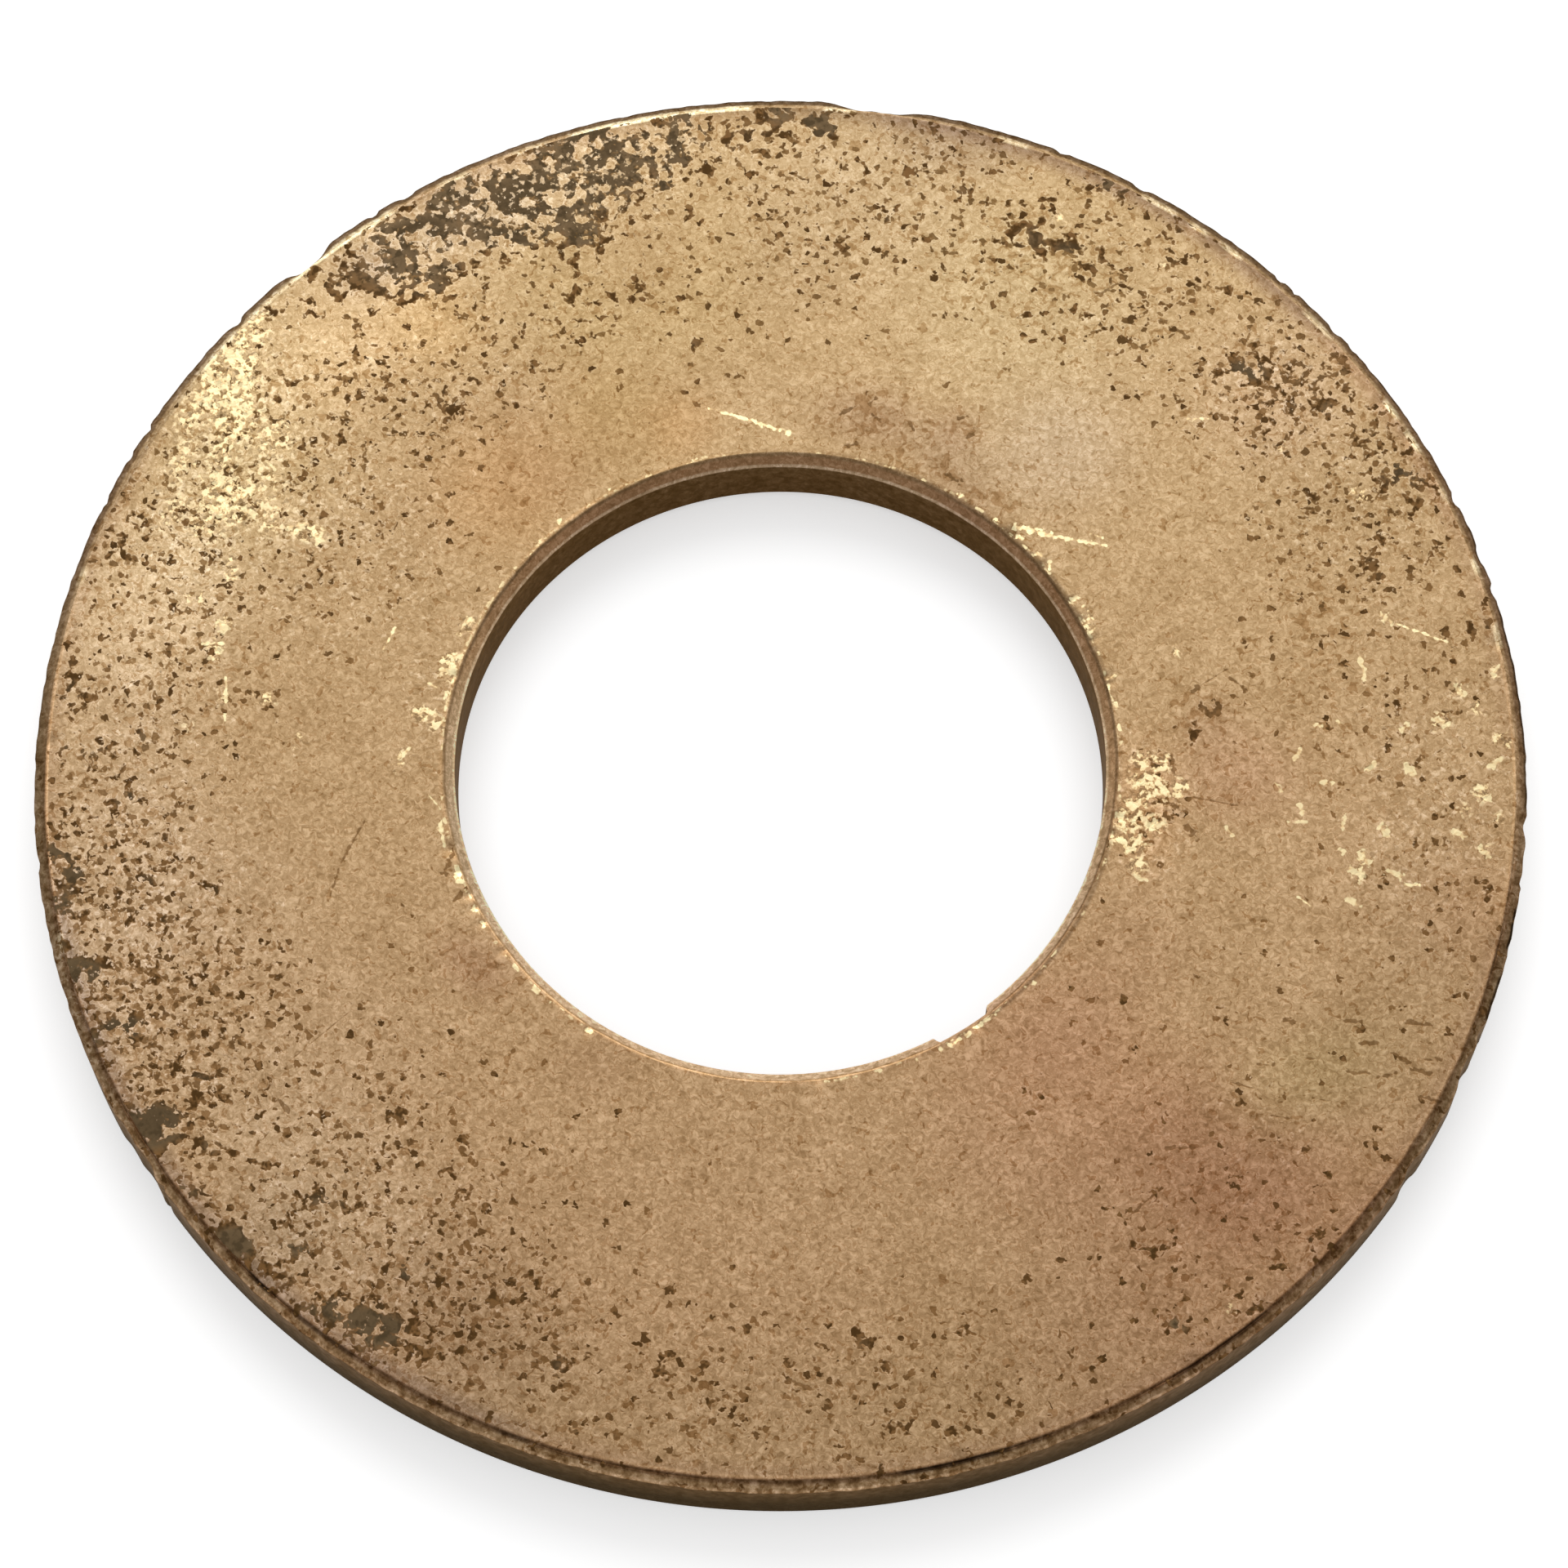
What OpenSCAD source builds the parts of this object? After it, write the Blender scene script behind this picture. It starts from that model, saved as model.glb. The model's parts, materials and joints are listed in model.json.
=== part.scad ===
// Flat bronze washer: one turned ring with a plain round bore. The corners of the
// rim and of the bore are cut back by a narrow cone on both faces.
// Origin: centre of the bore on the lower face. The axis is +Z, the washer lies flat.

/* [Ring] */
// Outer diameter, across the straight wall of the rim
outer_d = 50.8; // [40:0.1:90]
// Bore diameter, across the straight wall of the bore
bore_d = 22.2; // [8:0.1:34]
// Thickness from face to face
thickness = 2.9; // [1.8:0.1:8]

/* [Edges] */
// Width of the rim's chamfer, measured along the face
rim_chamfer_w = 0.38; // [0.1:0.02:0.8]
// Depth of the rim's chamfer, measured along the axis
rim_chamfer_h = 0.2; // [0.1:0.02:0.8]
// Width of the bore's chamfer, measured along the face
bore_chamfer_w = 0.38; // [0.1:0.02:0.8]
// Depth of the bore's chamfer, measured along the axis
bore_chamfer_h = 0.38; // [0.1:0.02:0.8]

/* [Hidden] */
outer_r = outer_d / 2;
bore_r = bore_d / 2;

// One cut through the ring on one side of its axis: radius across, height up,
// counter-clockwise from the bore's end of the lower face.
section = [
    [bore_r + bore_chamfer_w, 0],
    [outer_r - rim_chamfer_w, 0],
    [outer_r, rim_chamfer_h],
    [outer_r, thickness - rim_chamfer_h],
    [outer_r - rim_chamfer_w, thickness],
    [bore_r + bore_chamfer_w, thickness],
    [bore_r, thickness - bore_chamfer_h],
    [bore_r, bore_chamfer_h],
];

module washer()
    color("peru")
    rotate_extrude($fn = 180)
    polygon(section);

washer();
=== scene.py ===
"""A flat bronze washer, tarnished and scuffed, lying on a pale floor under soft light.

Lengths in this script are millimetres unless a name ends in _m. Places on the washer are (x, y)
seen from above: x to the right and y away from the camera, from the middle of the bore. Angles
are degrees round the ring, from +x toward +y. In the lists a radius is one number, (along, across)
or (along, across, turn). Shares, strengths, tones and gains in them are percents, and depths and
half widths are hundredths of a millimetre where no unit is given.
"""
import json
import math

import bpy
import numpy as np
from mathutils import Matrix, Vector


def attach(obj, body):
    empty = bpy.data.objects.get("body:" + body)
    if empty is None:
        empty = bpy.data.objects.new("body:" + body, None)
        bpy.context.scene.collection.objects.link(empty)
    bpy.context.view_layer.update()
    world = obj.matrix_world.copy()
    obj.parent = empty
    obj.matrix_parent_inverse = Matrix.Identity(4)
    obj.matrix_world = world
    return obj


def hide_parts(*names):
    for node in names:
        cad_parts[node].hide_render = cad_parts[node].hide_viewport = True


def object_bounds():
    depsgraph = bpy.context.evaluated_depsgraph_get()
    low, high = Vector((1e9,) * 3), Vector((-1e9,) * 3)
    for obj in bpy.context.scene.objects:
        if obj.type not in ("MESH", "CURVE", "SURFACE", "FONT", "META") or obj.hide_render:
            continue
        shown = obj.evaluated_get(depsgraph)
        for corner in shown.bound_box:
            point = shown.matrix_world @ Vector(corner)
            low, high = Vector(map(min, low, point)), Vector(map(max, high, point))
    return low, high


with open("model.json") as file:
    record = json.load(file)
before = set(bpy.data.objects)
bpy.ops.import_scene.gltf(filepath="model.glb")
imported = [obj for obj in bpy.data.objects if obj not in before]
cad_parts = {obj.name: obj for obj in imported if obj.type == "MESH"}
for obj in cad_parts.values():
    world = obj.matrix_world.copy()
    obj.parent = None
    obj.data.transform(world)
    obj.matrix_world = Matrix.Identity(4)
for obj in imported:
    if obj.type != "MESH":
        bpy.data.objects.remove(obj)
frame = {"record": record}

MM = 0.001
CAD_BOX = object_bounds()

# Camera, from a fit to the photograph's rim and bore
CAMERA_AT = (0.12, -65.22, 170.42)
CAMERA_ELEVATION = 68.99
CAMERA_ROLL = -0.45
CAMERA_LENS = 121.3
CAMERA_SENSOR = 36.0

# The washer's section. The outer radius, less some room for its ragged line, and the thickness come
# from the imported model's box.
RAGGED_ROOM = 0.005
OUTER_R = min(CAD_BOX[1].x, -CAD_BOX[0].x, CAD_BOX[1].y) / MM - RAGGED_ROOM
THICKNESS = CAD_BOX[1].z / MM
BORE_R = next(m for m in frame["record"]["mounts"] if m["name"] == "bore")["dims"]["r_mm"]
RIM_CHAMFER_W = 0.38
RIM_CHAMFER_H = 0.20
BORE_CHAMFER = 0.38
FACE_DROP = 0.006
FACE_IN = BORE_R + BORE_CHAMFER
FACE_OUT = OUTER_R - RIM_CHAMFER_W

# The narrow rings at the rim's upper corner: (zone, way out from the face, way down)
CORNER_SECTION = [
    ("lip_in", -0.08, 0.002), ("lip_out", -0.02, 0.004),
    ("crease_in", 0.01, 0.03), ("crease", 0.05, 0.07), ("crease_out", 0.09, 0.06),
]
CREASE_ZONES = ["crease_in", "crease", "crease_out"]
BRIGHT_ZONES = ["lip_in", "lip_out", "crease_in"]
CHAMFER_ZONES = ["rim_chamfer", "rim_chamfer_low"]

# Mesh density, and the angle from which an edge is drawn sharp
TURN_STEPS = 960
FACE_RINGS = 64
UNDERSIDE_RINGS = 4
WALL_RINGS = 4
SHARP_ANGLE = 16

# Nicks in the bore's upper corner: (angle, half width in degrees, depth)
BORE_NICKS = [
    (38, 0.7, 6), (30, 0.6, 5), (26, 0.7, 6), (22, 0.6, 5), (15, 0.6, 5), (13.5, 0.6, 4), (46, 1, 10),
    (195.5, 1.2, 12), (200, 0.8, 6), (204.5, 0.7, 6), (207, 0.6, 4), (210, 0.6, 4), (216, 0.6, 4),
    (236, 0.7, 5), (300, 0.8, 5), (304, 0.9, 5), (276, 0.7, 3), (346, 0.6, 4), (349, 0.7, 5), (164, 0.6, 4),
]

# Nicks in the rim's upper corner, the same way
RIM_NICKS = [
    (54, 0.6, 5), (50, 0.5, 5), (32, 0.5, 5), (28.5, 0.6, 6), (25, 0.5, 4), (9.5, 0.5, 5), (344, 0.6, 4),
    (225.5, 1, 5), (227, 0.5, 6), (283, 0.6, 4), (302, 0.6, 5), (309, 0.5, 5), (125, 0.6, 4), (196, 0.6, 4),
    (178, 0.5, 4),
]

# Dents pressed into the rim: (angle, half width in degrees, depth, share of the height they reach down)
RIM_DENTS = [
    (81.8, 3.1, 24, 40), (131, 1.9, 30, 40), (138.6, 0.5, 12, 40), (124.3, 0.35, 8, 40),
    (121.2, 0.6, 10, 40), (66.3, 0.4, 6, 40), (59.3, 0.7, 9, 40), (45.5, 0.4, 8, 40), (43.9, 0.25, 8, 40),
    (39.3, 0.5, 8, 40), (37.3, 0.3, 6, 40), (22.1, 0.5, 11, 50), (17, 0.8, 9, 60), (13.9, 0.5, 9, 60),
    (354.2, 0.6, 10, 100), (349.6, 0.3, 7, 100), (150.1, 0.3, 9, 50), (152.8, 0.25, 8, 50),
    (157, 0.3, 9, 50), (188, 0.5, 6, 100), (213.5, 1.4, 13, 100), (210.8, 1.2, 8, 100), (216, 0.3, 8, 100),
    (325.2, 1, 10, 100), (334.1, 1.5, 15, 100), (337, 0.9, 11, 100),
]

# Ragged line of the rim, and how the two corners wander: (waves round the ring, size in mm, phase)
RIM_RAGGED = [
    (59, 0.008, 0.4), (97, 0.007, 1.1), (149, 0.007, 2.3), (193, 0.006, 0.7), (241, 0.006, 1.9),
    (311, 0.004, 2.9),
]
RIM_WOBBLE = [(5, 0.008, 0.3), (13, 0.006, 1.2), (31, 0.005, 2.2), (67, 0.004, 0.1)]
BORE_WOBBLE = [(4, 0.010, 1.3), (11, 0.006, 0.2), (29, 0.005, 1.7), (61, 0.005, 0.9)]

# The chip in the bore's edge: first angle, last angle, depth in mm. It fades over this angle at its
# ends, and it grows over this height from its foot up.
BORE_CHIP = (297, 308, 0.22)
CHIP_FADE = 0.6
CHIP_FOOT = 1.0
CHIP_HEIGHT = 1.2

# Wide fields of scattered specks: (x, y, radius, share covered)
SPECK_FIELDS = [
    (-12, 14.5, (5.5, 3.5, 35), 10), (-15.5, 9, (3.5, 4), 10), (-21.5, 6, (3.5, 7, 10), 14),
    (-18.8, 12.5, (2.2, 4, -8), 16), (22, -4, (3, 4), 5), (12.4, -2, (1, 2), 10), (-22.5, -4, (3, 5), 20),
    (-20.8, -9.5, (4, 4.5, 20), 28), (-14, -15, (6, 5, -45), 11), (-11, -19, (5, 3, -20), 19),
    (0, -22.2, (9, 2.6), 9), (-3, 18.8, (8, 4), 6), (2, 21.5, (8, 3, -5), 11),
    (11, 18.5, (5, 3.5, -35), 13), (17, 14, (3, 3), 18), (20, 9, (3, 5, -15), 13), (21, 0, (4, 7), 3),
    (14, -17, (5, 3, 40), 5), (15, -9, (6, 5), 1.5), (6.5, 23.6, (3.5, 1.2, -15), 15),
    (13, 21, (3, 1.2, -32), 10), (-19.6, -14.6, (1, 5, 37), 12),
    (-15.3, -18.9, (1, 4, 51), 14),
]

# Fields thick with small brown dots, the same way
BROWN_FIELDS = [
    (3.2, 13, (1.5, 1.1, -15), 45), (6.2, 12.3, (0.9, 0.7), 40), (5.3, 11, (2.8, 0.8, -36), 42),
    (7.8, 9.2, (1.7, 0.6, -50), 36), (14.3, 1.5, (1, 0.9, 40), 40), (9, 18.9, (2.4, 1.8, -10), 22),
    (14.9, -0.8, (1.3, 1.2), 16), (14.6, -15.2, (1.8, 1.6, -50), 12), (-9.8, -7.6, (1.8, 0.7, -40), 25),
    (18, 4, (2, 3), 12),
]

# Round patches of tarnish by their radius: (x, y, how thick)
ROUND_TARNISH = {
    0.3: [
        (6, -19, 35), (16.4, -13.8, 40), (8.2, -12.7, 30), (13.3, -0.1, 30), (11.2, 16.3, 35),
        (12.3, 15.6, 35), (11.8, 14.4, 25), (20.7, 6.7, 50), (20.5, 11.3, 40),
    ],
    0.4: [
        (1.3, 24.5, 100), (-1.6, 23.4, 60), (2.4, 22.9, 40), (-5.5, 20.8, 50), (-20.7, -2.6, 50),
        (-20.7, -5.6, 50), (-19.1, -4.6, 50), (-19.6, -7.8, 45), (-17.6, -12.8, 70), (-17, -11.5, 30),
        (-17.2, -14.3, 35), (-9.7, -19.2, 50), (-6.8, -23.3, 50), (-4.6, -20.5, 35), (3.1, -21.5, 50),
        (5.7, -20, 35), (12.7, -17.4, 40), (16.2, -17.9, 40), (14.9, -14.6, 45), (12.1, -15.6, 30),
        (8.5, -11.8, 30), (12.6, -13, 25), (14.7, 1.9, 60), (24.2, 2.8, 45), (19, 4.1, 40), (21, 4.5, 30),
        (21.7, -6.7, 25), (4.1, 20.6, 65), (5.2, 19.6, 35), (-2.3, 22.3, 35), (-0.7, 21.8, 35),
        (-3.6, 19.5, 30), (11.4, 19.9, 35), (8.9, 16.6, 40), (12.5, 13.6, 35), (16, 17.4, 30), (18, 13, 50),
        (19.2, 13, 65), (18.3, 9.4, 45), (18, 12.2, 40), (21, 12.9, 50), (21.8, 8.8, 40), (22.7, 7.6, 40),
        (22.2, 11.6, 40),
    ],
    0.5: [
        (-7.3, 20.8, 90), (-5.4, 21.6, 60), (-12.3, 11.4, 40), (-18.8, 9, 30), (-21, 6.7, 30),
        (-8.5, 15, 35), (-21.3, 2.6, 40), (-22.2, -1.3, 80), (-22.4, -4.8, 40), (-24.4, -6.5, 70),
        (-21.2, -7.5, 35), (-22.6, -11.3, 50), (-18.9, -13.5, 65), (-15.2, -12.8, 35), (-12.7, -12.6, 40),
        (-13.8, -15.9, 40), (-4, -21.3, 40), (2.5, -20.5, 50), (3.8, -23, 45), (5.5, -23.5, 30),
        (14.1, 1, 22), (13.3, -1.9, 40), (24.1, 4.7, 55), (22.7, -8.7, 30), (4.8, 22.6, 35),
        (11.3, 18.7, 50), (7.5, 18.3, 30), (18.2, 14.5, 30), (22.4, 9.7, 50), (20.7, 12, 55),
    ],
    0.6: [
        (1.8, 24.3, 90), (-4.1, 22, 80), (-13.8, 19.7, 70), (-17.8, 17.2, 30), (-23, 8, 40),
        (-23.9, -3.9, 80), (-22, -6, 45), (-10, -17.3, 35), (-8.6, -18.3, 45), (-15.5, -19.2, 60),
        (-2.3, -22.7, 35), (11.9, -17.4, 40), (24, -5, 35), (0.2, 19.4, 40), (1, 18, 25), (13.8, 17, 30),
    ],
    0.7: [
        (-9.8, 22.5, 60), (-9.3, 14, 25), (-4.8, 18, 35), (-7.5, 16.5, 20), (-24.4, -3.2, 80),
        (-24.2, -5, 80), (-23.2, -10, 80), (-13.6, -20.8, 60), (-11.5, -20.4, 35), (15.3, -19.4, 40),
    ],
    0.8: [
        (-5.2, 22.6, 90), (-8.2, 23, 75), (-3.3, 24.4, 80), (0.2, 24.8, 70), (-9.6, 21.7, 90),
        (-11.5, 21.2, 70), (-6.9, 20.2, 100), (-24.3, 2.7, 55), (14.6, 18.2, 30),
    ],
    1: [(-6.8, 23.3, 100), (-6.6, 17.5, 25), (-11, -15.5, 20), (-9.5, -16, 20), (20.5, 2, 15)],
    1.2: [(-14.2, 14.3, 30), (-16, 12, 25), (-20, 9, 25)],
}

# Long patches of tarnish and round ones of other radii: (x, y, radius, how thick)
LONG_TARNISH = [
    (-9.2, 20.1, (1.6, 0.5), 90), (-12.5, 20.2, (1.5, 0.6, 10), 90), (-14.8, 18.6, (1.2, 0.9, 20), 50),
    (-12.2, 18, (0.9, 0.5, 15), 75), (-10.4, 16.6, (0.4, 0.9, 20), 45), (-16.3, 17.3, (0.4, 0.8, 10), 40),
    (-23.8, 0.6, (1.1, 0.4), 75), (-21.6, 0.9, (0.6, 0.7), 65), (-23.6, -7.4, (1.2, 0.6, -10), 95),
    (-22, -9.4, (0.9, 0.5), 95), (-19.4, -11.3, (0.9, 0.5, -20), 60), (-21, -12.9, (1.2, 0.8, 10), 100),
    (-15.1, -15.5, (0.9, 0.4, -10), 70), (-19.7, -15, (0.9, 0.4, -20), 65), (-18.1, -16.9, (0.9, 0.7), 95),
    (-16.1, -17, (0.8, 0.5, -30), 75), (-12.2, -17.9, (1, 0.4), 85), (-14.6, -19.2, (0.8, 0.5), 90),
    (-13.2, -19.9, (1, 0.7), 95), (-7.4, -21.1, (0.4, 0.7), 55), (-8.5, -23.5, (0.8, 0.4), 60),
    (0.2, -21.6, (0.6, 0.4), 45), (2.9, -24.5, (0.8, 0.4), 50), (12.8, -19.9, (0.6, 0.35, -35), 70),
    (17.5, -17.3, (0.9, 0.5, -40), 50), (6.6, 21.6, (0.5, 0.35), 55), (2, 19.5, (0.8, 0.3), 40),
    (9, 19.7, (0.9, 0.8), 60), (10.3, 19.3, (0.8, 0.4, -10), 65), (11.9, 21.8, (1, 0.5, -30), 70),
    (14.4, 20, (0.6, 0.5), 45), (16.5, 14.5, (0.9, 0.5, -10), 85), (17.2, 13.6, (0.4, 0.6), 30),
    (19.8, 14.2, (0.35, 0.8), 50), (17.3, 11.4, (0.6, 0.4), 55), (21.7, 10.5, (1, 0.5, -15), 85),
    (20.4, 7.3, (0.5, 0.7), 45), (-11.6, 13.6, 0.9, 45), (-16.7, 14, 0.9, 25), (-2.9, 15.7, 0.35, 50),
    (-21.4, -4.2, 0.45, 60), (-12.4, -14, 1.5, 15),
]

TARNISH = LONG_TARNISH + [
    (x, y, radius, thick) for radius, places in ROUND_TARNISH.items() for x, y, thick in places
]

# Banks of thick tarnish with little metal left between, as the speck fields
TARNISH_BANKS = [
    (-12.6, 19.4, (2.8, 1.7, 25), 55), (-12.7, 20.1, (1.5, 0.8, 15), 95), (-8.8, 21.3, (2.9, 1.7, 15), 79),
    (-6.2, 22.3, (1.5, 1.7), 66), (-6.5, 23.6, (1.5, 0.9, 15), 95), (-3.1, 24.1, (0.8, 0.6, 8), 72),
    (1.6, 24.2, (0.7, 0.6), 50), (-3.9, 23.4, (1.8, 1.1, 8), 62), (-7, 20.1, (1.2, 1.1), 40),
    (-0.9, 24, (1.4, 0.8), 30), (-15.4, 18.2, (1.3, 0.9, 30), 28), (-9.2, 20.1, (1.6, 0.6, 5), 95),
    (-12.9, 17.9, (1.5, 0.5, 20), 30), (-14, 20, (1.2, 0.6, 35), 55), (-10.9, 21.9, (1.9, 0.9, 27), 72),
    (16.4, 14.6, (1, 0.6, -10), 36), (18.4, 13.4, (1.8, 1.3, -40), 14), (21.5, 10.4, (1.3, 1, -30), 32),
    (9.1, 19.7, (1, 0.8), 34), (-21, -12.9, (1.4, 1, 10), 60), (-23.6, -7.5, (1.1, 0.8), 45),
    (-24.3, -3.9, (0.6, 1.5), 22), (-18.1, -16.9, (1.2, 0.8, -10), 40), (-15.6, -18.9, (2.4, 0.7, -51), 28),
    (-23.2, -8.6, (0.8, 1.6, 20), 14), (-13.6, -19.7, (1.6, 0.9, -15), 50), (12.9, -1.6, (0.5, 1.4), 14),
]

# Wide fields of pale worn bits, as the speck fields
PALE_FIELDS = [
    (-15.5, 8.5, (4, 4), 26), (-12, 14, (5, 4, 30), 10), (-21, -5, (4, 9), 12), (20, 9, (3, 4), 12),
    (17, 14, 2.5, 12), (22.5, -2, (2.5, 4), 22), (-8, 21.5, (6, 2, 20), 25), (-13, -17, (6, 4, -40), 8),
    (-19.2, 12.2, (2.8, 5.5, -8), 36), (12.4, -1.8, (1.1, 2.2), 50), (-11.9, 2.5, (0.9, 2.2), 20),
    (15, -14, (4, 4), 6),
]

# Stretches of the bore's corner with a row of small pale bits: (first angle, last angle, bits)
BORE_ROWS = [
    (2, 46, 34), (46, 62, 8), (62, 128, 30), (128, 162, 34), (162, 178, 14), (186, 240, 30), (276, 296, 10),
    (296, 308, 14), (308, 340, 8), (340, 358, 16),
]

# The least and the most of a bit in these rows: radius from the middle, turn in degrees, half width
# in mm, and tone, of which 1 is the brightest
ROW_BITS = ((11.52, 0.1, 0.025, 0.3), (11.60, 0.9, 0.055, 0.8))
ROW_SEED = 7

# Stretches of the face that darken toward the rim: (first angle, last angle, (red, green, blue) gain)
RIM_SHADES = [
    (0, 20, (94, 92, 94)), (20, 40, (90, 84, 86)), (40, 82, (68, 64, 70)), (82, 92, (66, 62, 60)),
    (92, 122, (86, 83, 84)), (150, 190, (92, 90, 92)), (190, 250, (77, 79, 90)), (250, 345, (88, 86, 88)),
]

# Tone round the bore's corner, its chamfer and the face beside it: (angle, gain). Besides the metal's
# own tone it holds painted reflection, brightest round the near side of the corner and the chamfer
BORE_CORNER_TONE = [
    (0, 72), (30, 38), (60, 60), (90, 56), (120, 46), (150, 50), (180, 100), (210, 150), (240, 135),
    (270, 140), (300, 115), (330, 70), (360, 72),
]
BORE_CHAMFER_TONE = [
    (0, 117), (30, 72), (60, 79), (90, 69), (120, 66), (150, 93), (180, 160), (210, 184), (240, 186),
    (270, 175), (300, 165), (330, 162), (360, 117),
]
BORE_LIP_TONE = [
    (0, 88), (8, 92), (22, 60), (38, 60), (52, 76), (68, 72), (82, 85), (112, 105), (128, 125), (142, 100),
    (158, 120), (172, 105), (218, 105), (250, 93), (278, 103), (293, 88), (308, 60), (322, 52), (338, 66),
    (352, 80), (360, 88),
]

# Tone round the rim's corner and its chamfer, the same way: the metal's own tone and painted reflection
RIM_CORNER_TONE = [
    (0, 130), (15, 110), (30, 100), (138, 100), (148, 75), (156, 80), (166, 110), (180, 170), (192, 140),
    (205, 100), (345, 100), (360, 130),
]
RIM_CHAMFER_TONE = [
    (0, 145), (30, 140), (50, 105), (90, 85), (125, 110), (150, 135), (165, 125), (180, 95), (200, 85),
    (215, 95), (228, 110), (260, 110), (290, 100), (345, 100), (360, 145),
]

# Bare metal rubbed bright: (x, y, radius, strength)
FLECKS = [
    (-18.6, 16.3, (1.2, 0.8, 60), 70), (-19.2, 14.4, (1.6, 1.1, 70), 95), (-18.9, 13, 1, 80),
    (-20.4, 13.2, (1, 0.6, 60), 60), (-17.6, 12.2, 0.9, 55), (-20.8, 11.3, (1.3, 0.5, 70), 50),
    (-19.3, 11.6, (1.2, 0.6, 80), 60), (-19, 9.8, (1.3, 1), 85), (-19.8, 8.9, 0.8, 60),
    (-21, 9.4, (1, 0.5, 60), 50), (-17.8, 10.6, 0.8, 45), (-17.4, 9.6, 0.7, 45), (-17.6, 8.9, 0.5, 60),
    (-16.3, 8.6, (0.7, 0.35, -15), 90), (-18.9, 7.2, (0.3, 0.8), 70), (-20.1, 6.2, 0.5, 60),
    (-19.1, 5.2, 0.4, 60), (-19.3, 4.2, (0.4, 0.6), 70), (-19, 2.6, (0.25, 0.7), 60),
    (-17.6, 2.4, (0.5, 0.3), 70), (-20.2, 1.4, 0.3, 40), (-16.4, 0.8, (0.25, 0.5), 60),
    (-13, 0.1, (0.3, 0.5), 70), (-10.8, 5.1, (0.3, 0.5, -20), 90), (-11.3, 3.6, (0.4, 0.6), 100),
    (-12.2, 1.8, (0.5, 0.3), 90), (-11.7, 1.4, 0.3, 80), (-11.5, -2.5, (0.2, 0.5), 50),
    (12.4, -0.3, 0.5, 100), (12.5, -1, (0.8, 0.5, -40), 100), (13.6, -1.2, 0.45, 90),
    (11.8, -2.2, (0.5, 0.7), 100), (11.8, -3.1, (0.6, 0.45), 100), (12.65, -2.45, 0.4, 80),
    (12, -3.9, 0.4, 80), (13, -0.2, 0.4, 80), (12.2, -1.6, 0.4, 80), (10.6, 5.1, (0.25, 0.5), 80),
    (13.6, 3.9, 0.3, 60), (22.5, 1.2, 0.4, 70), (23.2, 2.4, 0.35, 60), (23.8, 1.7, 0.35, 60),
    (24.5, 3, 0.3, 60), (24.6, 0.5, 0.35, 100), (23.8, -1.4, 0.4, 70), (23.2, -2, 0.3, 60),
    (24.4, -2.3, 0.3, 50), (22.9, -2.9, 0.25, 50), (23.8, -3.5, 0.3, 70), (19.6, -4, (0.3, 0.7, -20), 80),
    (20.2, 9.7, (0.5, 0.25, -25), 70), (17.5, 11.6, 0.3, 50), (14.7, 12.6, (0.5, 0.2), 40),
    (10, 20.4, 0.35, 50), (13.5, 18.6, (0.6, 0.25, -30), 40), (12.6, 20, 0.4, 40), (14.5, -19.3, 0.35, 50),
]

# Single dark specks by their radius: (x, y)
SPECKS = {
    0.1: [(-16.3, 11.6), (-3.2, 13.8), (-17.4, 2.1), (10.8, -5.2), (11.2, -16.4)],
    0.12: [
        (-15, 12.8), (16, 4.2), (-19.6, 3.9), (-19, 2), (-18.3, 2.3), (22.8, -0.9), (-1.7, -17.9),
        (9.1, -17.65), (10, -19.9), (15.2, -12.35), (20.4, -10.8), (19.3, -13.75), (19.9, -14.3),
        (21.3, -12.3),
    ],
    0.13: [
        (-8.5, 15.05), (2, 18.5), (12.6, 13.5), (16.8, 10.3), (22.8, 7.8), (23.4, 6.9), (20.7, 0.3),
        (24.3, 5.6), (-1.2, -19.9), (-5.6, -19.3), (6.9, -19.35), (3.7, -22.5), (6.7, -22.9), (-4.3, -23.1),
        (14.4, -18.65), (18.1, -16.1), (16.3, -13.7), (22.2, -9.9),
    ],
    0.15: [
        (-14.6, 13.8), (-12.2, 11.4), (-4.8, 17.9), (-2.8, 15.8), (12.2, 15.7), (-24.2, 3.8), (20.2, 7.3),
        (22.9, 4.5), (-3.7, -18.6), (-4.6, -20.2), (-4.1, -21.2), (0.1, -21.1), (3.3, -21.3), (5.9, -20),
        (4, -23.2), (-6.9, -23.1), (15.5, -19.3), (17.7, -16.9),
    ],
    0.17: [(-11.8, 13.4), (20.7, 6.65), (2.7, -20.5)],
    0.2: [(-19.2, 10.95), (-19.1, 6.65)],
}

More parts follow.
